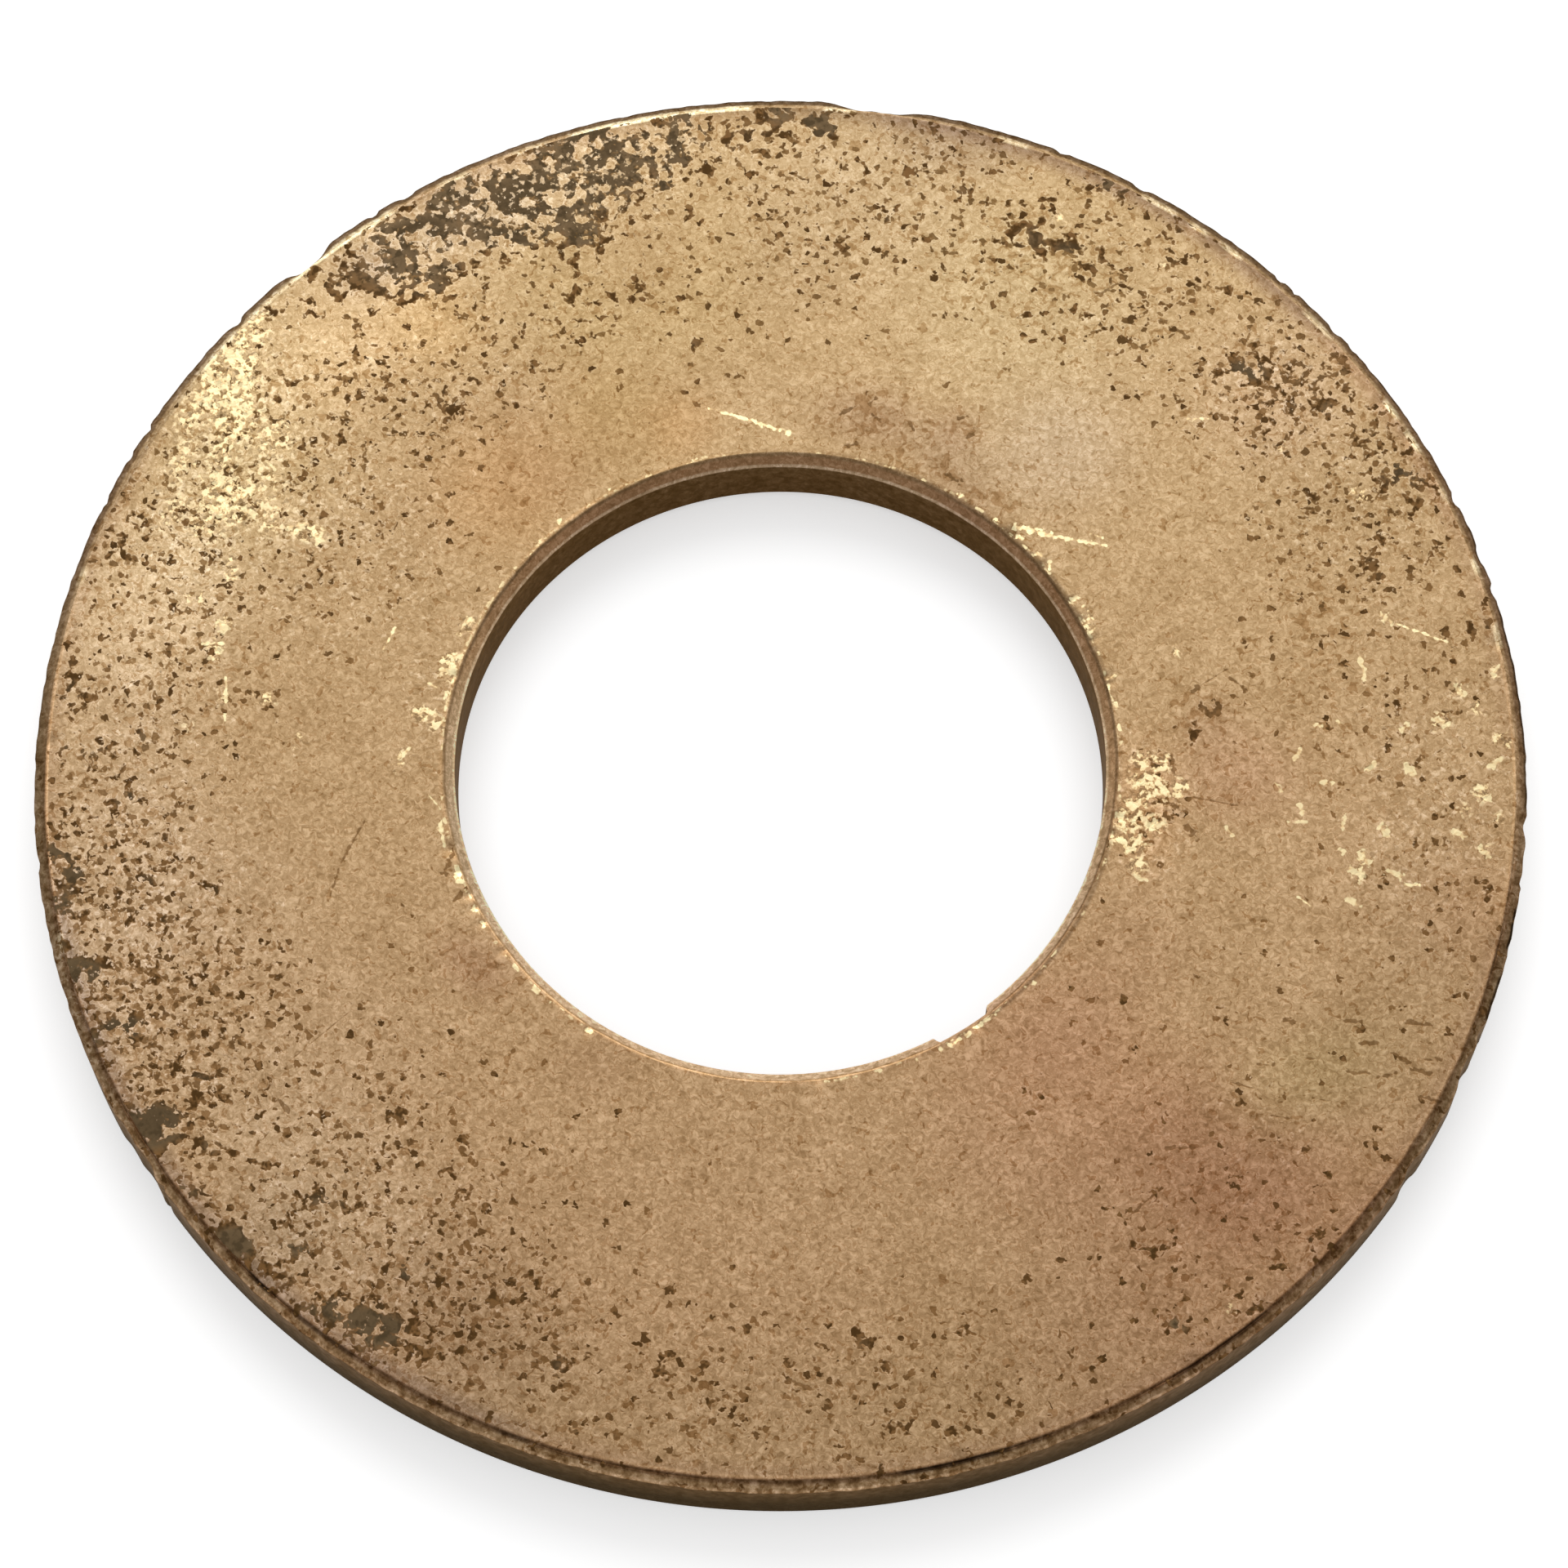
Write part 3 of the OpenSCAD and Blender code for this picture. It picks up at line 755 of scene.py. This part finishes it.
def mark_segments():
    """Every mark as (x, y, x, y, half width, tone): tone -1 is dark and 1 bright."""
    marks = [(x, y, x, y, radius, -0.9) for radius, places in SPECKS.items() for x, y in places]
    for lines, tone in ((DARK_SCRATCHES, -0.6), (BRIGHT_SCRATCHES, 1.0), (PALE_BITS, 0.7)):
        for x, y, reach_x, reach_y, width in lines:
            end = (round(x + reach_x / 100, 2), round(y + reach_y / 100, 2))
            marks.append((x, y, *end, width / 100, tone))
    for x, y, radius, first, last in RINGS:
        turns = np.radians(np.linspace(first, last, 6))
        around = [(x + radius * math.cos(t), y + radius * math.sin(t)) for t in turns]
        marks += [(*a, *b, 0.09, -0.75) for a, b in zip(around, around[1:])]

    # Along the bore's corner, the listed bits and then the rows of scattered ones
    bits = [(a, (1100 + r) / 100, b, (1100 + s) / 100, w / 100, 0.9) for a, r, b, s, w in BORE_BITS]
    chance = np.random.default_rng(ROW_SEED)
    for first, last, count in BORE_ROWS:
        for degrees in chance.uniform(first, last, count):
            radius, turn, half_width, tone = chance.uniform(*ROW_BITS)
            bits.append((degrees, radius, degrees + turn, radius, half_width, tone))
    for first, first_radius, last, last_radius, half_width, tone in bits:
        marks.append((*on_circle(first, first_radius), *on_circle(last, last_radius), half_width, tone))
    return marks


def store(mesh, name, kind, domain, values):
    attribute = mesh.attributes.new(name, kind, domain)
    field = {"FLOAT_COLOR": "color", "FLOAT_VECTOR": "vector", "FLOAT": "value"}[kind]
    attribute.data.foreach_set(field, values.reshape(-1).astype(np.float32))


def store_marks(mesh, points, corners, upper):
    """Gives every face its nearest mark: the mark's form, and each corner's place along and across it."""
    centre = points[corners].mean(1)[:, :2]
    best = np.full(len(corners), MARK_REACH)
    nearest = np.full(len(corners), -1)
    frames = []
    for number, (x0, y0, x1, y1, half_width, tone) in enumerate(mark_segments()):
        middle = np.array([(x0 + x1) / 2, (y0 + y1) / 2])
        half_length = math.hypot(x1 - x0, y1 - y0) / 2
        along = np.array([x1 - x0, y1 - y0]) / (2 * half_length) if half_length else np.array([1.0, 0.0])
        across = np.array([-along[1], along[0]])
        frames.append((middle, along, across, (half_length, half_width, tone)))
        off = centre - middle
        beyond = np.maximum(np.abs(off @ along) - half_length, 0)
        distance = np.hypot(beyond, off @ across) - half_width
        closer = distance < best
        best[closer] = distance[closer]
        nearest[closer] = number

    form = np.zeros((len(corners), 3))
    place = np.full((len(corners), 4, 3), NO_MARK)
    for number, (middle, along, across, mark_form) in enumerate(frames):
        chosen = (nearest == number) & upper
        off = points[corners[chosen]][..., :2] - middle
        place[chosen, :, 0] = off @ along
        place[chosen, :, 1] = off @ across
        form[chosen] = mark_form
    store(mesh, "mark_form", "FLOAT_VECTOR", "FACE", form)
    store(mesh, "mark_place", "FLOAT_VECTOR", "CORNER", place)


def paint(mesh, points, corners, zones):
    """Stores what the material reads: wear levels and strengths, colour gain and marks."""
    x, y, z = points.T
    zone = np.repeat(zones, TURN_STEPS)
    radius = np.hypot(x, y)
    degrees = np.degrees(np.arctan2(y, x)) % 360
    far = far_side(np.radians(degrees))
    upper = z > THICKNESS * 0.75
    on_bore = upper & (radius < FACE_IN)
    on_rim = upper & (radius > FACE_OUT)

    lists = (TARNISH_BANKS, TARNISH, SPECK_FIELDS, FLECKS, BROWN_FIELDS, PALE_FIELDS)
    banks, patch, field, flecks, brown, pale = (spots(x, y, places) for places in lists)

    # The share of the metal that the tarnish, the brown dots and the bare metal cover
    tarnished = np.clip(0.64 * patch + banks + 0.42 * field, 0, 0.93)
    tarnished = np.where(on_rim, 0.08 * (1 - far), tarnished)
    browned = np.clip(0.045 + 0.9 * field + 0.2 * patch + brown, 0, 0.45)
    bare = np.clip(0.6 * flecks ** 1.4 + pale, 0, 0.6)
    covers = ((tarnished, TARNISH_SPREAD), (browned, DOT_SPREAD), (bare, BARE_SPREAD))
    level = np.stack([noise_level(share, spread) for share, spread in covers], -1)
    level[~upper | on_bore] = NO_WEAR
    strength = np.stack([np.maximum(patch, 1.6 * banks), field, flecks], -1)
    strength[~upper | on_bore | on_rim] = 0.0
    store(mesh, "level", "FLOAT_VECTOR", "POINT", level)
    store(mesh, "strength", "FLOAT_VECTOR", "POINT", strength)
    mottled = np.where(radius > FACE_OUT - 0.01, 1 - 0.6 * far, 0.0)
    mottled[zone == "bore_wall"] = 0.6
    store(mesh, "rim", "FLOAT", "POINT", mottled)

    stains = np.where(upper[:, None], stain_gain(x, y), 1.0)
    # The tone holds the stains with the painted shade, highlights and reflection of the rim and the bore
    gain = stains * rim_gain(zone, degrees, z) * bore_gain(zone, degrees)
    add_painted_highlights(gain, zone, degrees)
    store(mesh, "tone", "FLOAT_COLOR", "POINT", np.concatenate([gain, np.ones((len(gain), 1))], -1))
    store_marks(mesh, points, corners, (upper & ~on_bore)[corners].all(1))


# Materials

class Nodes:
    """Short calls that add nodes to one material's tree."""

    def __init__(self, material):
        self.tree = material.node_tree

    def add(self, kind, inputs=(), **settings):
        node = self.tree.nodes.new(kind)
        for name, value in settings.items():
            setattr(node, name, value)
        for key, value in dict(inputs).items():
            self.feed(node.inputs[key], value)
        return node

    def feed(self, socket, value):
        if isinstance(value, bpy.types.NodeSocket):
            self.tree.links.new(value, socket)
        else:
            socket.default_value = value

    def math(self, operation, a, b=0.0):
        return self.add("ShaderNodeMath", {0: a, 1: b}, operation=operation).outputs[0]

    def plus(self, a, b):
        return self.math("ADD", a, b)

    def minus(self, a, b):
        return self.math("SUBTRACT", a, b)

    def times(self, a, b):
        return self.math("MULTIPLY", a, b)

    def larger(self, a, b):
        return self.math("MAXIMUM", a, b)

    def shift(self, place, offset):
        return self.add("ShaderNodeVectorMath", {0: place, 1: offset}).outputs[0]

    def scaled(self, vector, scale):
        return self.add("ShaderNodeVectorMath", {0: vector, "Scale": scale}, operation="SCALE").outputs[0]

    def noise(self, place, scale, detail=2.0, roughness=0.5, curl=0.0, output="Fac"):
        inputs = {"Vector": place, "Scale": scale, "Detail": detail, "Roughness": roughness}
        return self.add("ShaderNodeTexNoise", {**inputs, "Distortion": curl}).outputs[output]

    def range(self, value, low, high, to_low=0.0, to_high=1.0, kind="LINEAR"):
        inputs = {"Value": value, "From Min": low, "From Max": high, "To Min": to_low, "To Max": to_high}
        return self.add("ShaderNodeMapRange", inputs, interpolation_type=kind).outputs[0]

    def step(self, value, low, high):
        """0 below low and 1 above high, with a smooth change between."""
        return self.range(value, low, high, kind="SMOOTHSTEP")

    def mix(self, factor, a, b, blend="MIX"):
        node = self.add("ShaderNodeMix", data_type="RGBA", blend_type=blend)
        self.feed(node.inputs["Factor"], factor)
        for socket, value in zip((i for i in node.inputs if i.type == "RGBA"), (a, b)):
            self.feed(socket, value)
        return next(o for o in node.outputs if o.type == "RGBA")

    def tinted(self, colour, gain):
        return self.mix(1.0, colour, gain, "MULTIPLY")

    def lightened(self, value):
        """A gain that turns the metal paler as it lightens it, and redder as it darkens it."""
        green, blue = (self.math("POWER", value, power) for power in (1.2, 1.55))
        return self.add("ShaderNodeCombineColor", {"Red": value, "Green": green, "Blue": blue}).outputs[0]

    def attribute(self, name):
        return self.add("ShaderNodeAttribute", attribute_name=name).outputs

    def parts(self, vector):
        return self.add("ShaderNodeSeparateXYZ", {0: vector}).outputs


# The axis and the turn of the plane that the noises are cut by, and the material's colours. DOT_BROWN,
# SPECK_BROWN and PALE are gains on the metal's own colour.
NOISE_AXIS = (0.8, 0.5, 0.33)
NOISE_TURN = 0.7
BRONZE = (0.484, 0.317, 0.163, 1)
EDGE_TINT = (0.75, 0.60, 0.45, 1)
DOT_BROWN = (0.71, 0.62, 0.51, 1)
SPECK_BROWN = (0.56, 0.46, 0.33, 1)
PALE = (1.22, 1.30, 1.46, 1)
SPECK_LIGHT = (0.215, 0.110, 0.038, 1)
SPECK_CORE = (0.085, 0.041, 0.011, 1)
PATCH_CORE = (0.090, 0.059, 0.028, 1)
PATCH_PALE = (0.225, 0.148, 0.076, 1)
# The colour of the painted shade beside the flecks
FLECK_SHADE = (0.16, 0.095, 0.040, 1)
GOLD = (0.79, 0.56, 0.28, 1)
BARE = (0.95, 0.80, 0.46, 1)


def mark_masks(n, ragged):
    """The marks: how far a point is inside a dark one and inside a bright one."""
    along, across, _ = n.parts(n.attribute("mark_place")["Vector"])
    half_length, half_width, tone = n.parts(n.attribute("mark_form")["Vector"])
    beyond = n.larger(n.minus(n.math("ABSOLUTE", along), half_length), 0.0)
    square = n.plus(n.math("POWER", beyond, 2.0), n.math("POWER", across, 2.0))
    inside = n.minus(half_width, n.math("SQRT", square))
    wobble = n.times(n.minus(ragged, 0.5), n.range(half_width, 0.0, 0.2, 0.06, 0.90))
    mask = n.step(n.plus(inside, wobble), -0.015, 0.035)
    dark = n.times(mask, n.larger(n.times(tone, -1.0), 0.0))
    return dark, n.times(mask, n.larger(tone, 0.0))


def scattered_specks(n, place, field, ragged):
    """Compact single specks, one to a cell in some cells of a grid: (how far inside, how dark)."""
    cells = n.add("ShaderNodeTexVoronoi", {"Vector": place, "Scale": 2.9}, voronoi_dimensions="2D")
    chance, size, shade = n.parts(cells.outputs["Color"])
    present = n.math("LESS_THAN", chance, n.times(field, 4.2))
    radius = n.plus(n.range(size, 0.0, 1.0, 0.10, 0.42), n.times(n.minus(ragged, 0.5), 1.9))
    inside = n.minus(radius, cells.outputs["Distance"])
    mask = n.times(present, n.step(inside, -0.04, 0.10))
    return mask, n.times(mask, n.range(shade, 0.1, 0.9))


def worn_metal(n, place):
    """The grain of the worn metal, its mottling, and its colour with the rim's mottled tarnish."""
    grain = n.noise(place, 5.0, roughness=0.6, curl=0.9)
    cloud = n.noise(n.shift(place, (31, 7, 3)), 0.7)
    mottle = n.noise(n.shift(place, (13, 2, 8)), 3.0, roughness=0.6)
    gain = n.times(n.range(grain, 0.3, 0.7, 0.65, 1.35), n.range(cloud, 0.3, 0.7, 0.94, 1.06))
    swing = n.times(n.attribute("rim")["Fac"], n.range(mottle, 0.34, 0.66, -0.42, 0.42))
    gain = n.times(gain, n.plus(swing, 1.0))
    # The tone attribute brings in the stains and the painted shade, highlights and reflection
    return grain, mottle, n.tinted(n.tinted(BRONZE, n.lightened(gain)), n.attribute("tone")["Color"])


def dotted(n, metal_colour, pushed, grain, level):
    """The metal's colour with small brown dots and strokes."""
    noise = n.noise(n.shift(pushed, (5, 11, 0)), 3.2, detail=1.0, curl=0.8)
    dots = n.step(n.minus(noise, level), 0.0, 0.04)
    line = n.range(n.math("ABSOLUTE", n.minus(noise, 0.5)), 0.010, 0.032, 1.0, 0.0)
    stroke = n.times(line, n.range(grain, 0.42, 0.53, 0.0, 0.85))
    return n.mix(n.larger(dots, stroke), metal_colour, n.tinted(metal_colour, DOT_BROWN))


def flecked(n, colour, metal_colour, pushed, level, fleck):
    """The colour with pale worn bits and bare bright flecks, a painted shade beside each, and their shine.
    """
    place = n.shift(pushed, (2, 17, 9))
    noise = n.noise(place, 4.4, roughness=0.55)
    # Painted shade beside each fleck, as though it stood out of the surface
    fleck_shade_noise = n.noise(n.shift(place, (0.07, -0.08, 0)), 4.4, roughness=0.55)
    over = n.minus(noise, level)
    bare = n.step(over, -0.01, 0.06)
    fleck_shade = n.step(n.minus(fleck_shade_noise, level), 0.0, 0.05)
    gold = n.mix(n.range(over, 0.04, 0.12), GOLD, BARE)
    shining = n.range(fleck, 0.1, 0.6)
    colour = n.mix(n.times(fleck_shade, n.range(fleck, 0.1, 0.6, 0.15, 0.6)), colour, FLECK_SHADE)
    colour = n.mix(bare, colour, n.mix(shining, n.tinted(metal_colour, PALE), gold))
    return colour, n.times(bare, shining)


def new_material(name):
    material = bpy.data.materials.new(name)
    material.use_nodes = True
    return material, Nodes(material)


def bronze_material():
    material, n = new_material("bronze")
    flat = n.scaled(n.add("ShaderNodeTexCoord").outputs["Object"], 1 / MM)

    # The noises are cut by a tilted plane, so that their grid doesn't show
    turn = {"Vector": flat, "Axis": NOISE_AXIS, "Angle": NOISE_TURN}
    place = n.add("ShaderNodeVectorRotate", turn).outputs[0]
    swirl = n.noise(place, 7.0, detail=1.0, output="Color")
    push = n.scaled(n.shift(swirl, (-0.5, -0.5, -0.5)), 0.12)
    pushed = n.shift(place, push)
    speck_level, dot_level, bare_level = n.parts(n.attribute("level")["Vector"])
    patch, field, fleck = n.parts(n.attribute("strength")["Vector"])
    grain, mottle, metal_colour = worn_metal(n, place)
    colour = dotted(n, metal_colour, pushed, grain, dot_level)

    # Dark specks: joined into nets by the noise where they are dense, single ones between
    coarse = n.minus(n.noise(n.shift(place, (3, 21, 6)), 1.2, detail=1.0), 0.5)
    clump = n.times(coarse, n.range(patch, 0.2, 0.8))
    net = n.plus(n.noise(pushed, 2.7, roughness=0.42, curl=0.3), clump)
    over = n.minus(net, speck_level)
    ragged = n.noise(n.shift(place, (9, 4, 1)), 4.5, detail=1.0, curl=0.4)
    single, single_core = scattered_specks(n, n.shift(flat, push), field, ragged)
    dark_mark, bright_mark = mark_masks(n, ragged)
    halo = n.step(over, -0.06, -0.005)
    edge = n.larger(n.step(over, -0.01, 0.035), single)
    edge = n.larger(edge, n.range(dark_mark, 0.0, 0.8))
    core = n.larger(n.step(over, 0.015, 0.08), single_core)
    core = n.larger(core, n.range(dark_mark, 0.4, 1.0))
    speck_tone = n.mix(n.step(mottle, 0.46, 0.60), SPECK_CORE, SPECK_LIGHT)
    pale_share = n.times(n.step(mottle, 0.37, 0.53), n.range(field, 0.0, 0.2, 1.0, 0.3))
    pale_share = n.times(pale_share, n.range(patch, 0.6, 1.2, 1.0, 0.2))
    patch_tone = n.mix(pale_share, PATCH_CORE, PATCH_PALE)
    halo = n.times(halo, n.range(patch, 0.2, 0.7, 0.5, 1.0))
    colour = n.mix(halo, colour, n.tinted(metal_colour, PALE))
    colour = n.mix(edge, colour, n.tinted(metal_colour, SPECK_BROWN))
    colour = n.mix(core, colour, n.mix(n.range(patch, 0.35, 0.70), speck_tone, patch_tone))

    colour, shine = flecked(n, colour, metal_colour, pushed, bare_level, fleck)
    colour = n.mix(bright_mark, colour, n.mix(n.range(ragged, 0.40, 0.56), GOLD, BARE))
    rough = n.plus(n.range(grain, 0.3, 0.7, 0.38, 0.50), n.times(edge, 0.15))
    height = n.plus(grain, n.times(edge, -0.7))
    bump = n.add("ShaderNodeBump", {"Strength": 0.5, "Distance": 0.012 * MM, "Height": height})
    surface = {
        "Base Color": colour,
        "Roughness": n.minus(rough, n.times(n.larger(shine, bright_mark), 0.10)),
        "Metallic": n.minus(0.94, n.times(core, 0.10)),
        "Normal": bump.outputs[0],
        "Specular Tint": EDGE_TINT,
    }
    for name, value in surface.items():
        n.feed(material.node_tree.nodes["Principled BSDF"].inputs[name], value)
    return material


def floor_material():
    """Pale and dull. What the camera sees gets some light of its own, for a white ground."""
    material, n = new_material("pale_floor")
    n.tree.nodes.clear()
    diffuse = n.add("ShaderNodeBsdfDiffuse", {"Color": (0.88, 0.88, 0.88, 1)}).outputs[0]
    path = n.add("ShaderNodeLightPath").outputs
    glow = n.plus(n.times(path["Is Camera Ray"], 0.46), n.times(path["Is Glossy Ray"], 0.18))
    glow = n.add("ShaderNodeEmission", {"Strength": glow}).outputs[0]
    both = n.add("ShaderNodeAddShader", {0: diffuse, 1: glow}).outputs[0]
    n.add("ShaderNodeOutputMaterial", {"Surface": both})
    return material


# The scene

def add_object(name, data):
    made = bpy.data.objects.new(name, data)
    bpy.context.scene.collection.objects.link(made)
    return made


def make_washer():
    section = section_points()
    zones = np.array([zone for zone, _, _ in section])
    points = ring_points(section, zones).reshape(-1, 3)
    corners = ring_corners(len(section))
    mesh = build_mesh(points, corners)
    paint(mesh, points, corners, zones)
    mesh.materials.append(bronze_material())
    washer = add_object("washer_ring", mesh)
    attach(washer, "root")
    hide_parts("washer")


def make_camera():
    data = bpy.data.cameras.new("camera")
    data.lens = CAMERA_LENS
    data.sensor_width = CAMERA_SENSOR
    data.clip_start = 0.005
    data.clip_end = 20
    camera = add_object("camera", data)
    tilt = Matrix.Rotation(math.radians(90 - CAMERA_ELEVATION), 4, "X")
    roll = Matrix.Rotation(math.radians(CAMERA_ROLL), 4, "Z")
    camera.matrix_world = Matrix.Translation(Vector(CAMERA_AT) * MM) @ tilt @ roll
    bpy.context.scene.camera = camera


def make_floor(half_m):
    mesh = bpy.data.meshes.new("floor")
    corners = [(-half_m, -half_m, 0), (half_m, -half_m, 0), (half_m, half_m, 0), (-half_m, half_m, 0)]
    mesh.from_pydata(corners, [], [(0, 1, 2, 3)])
    mesh.materials.append(floor_material())
    floor = add_object("floor", mesh)


def area_light(name, azimuth, elevation, distance_m, size_m, power):
    data = bpy.data.lights.new(name, "AREA")
    data.shape = "DISK"
    data.size = size_m
    data.energy = power
    a, e = math.radians(azimuth), math.radians(elevation)
    away = Vector((math.cos(a) * math.cos(e), math.sin(a) * math.cos(e), math.sin(e)))
    turn = away.to_track_quat("Z", "Y").to_matrix().to_4x4()
    add_object(name, data).matrix_world = Matrix.Translation(away * distance_m) @ turn


def make_world(strength):
    """Even white light from all round."""
    world = bpy.data.worlds.new("studio")
    bpy.context.scene.world = world
    world.use_nodes = True
    background = world.node_tree.nodes["Background"]
    background.inputs["Color"].default_value = (1, 1, 1, 1)
    background.inputs["Strength"].default_value = strength


make_camera()
make_washer()
make_floor(half_m=3.0)
area_light("key", azimuth=90, elevation=42, distance_m=0.9, size_m=0.8, power=3.2)
make_world(strength=0.6)
bpy.context.scene.view_settings.view_transform = "Standard"
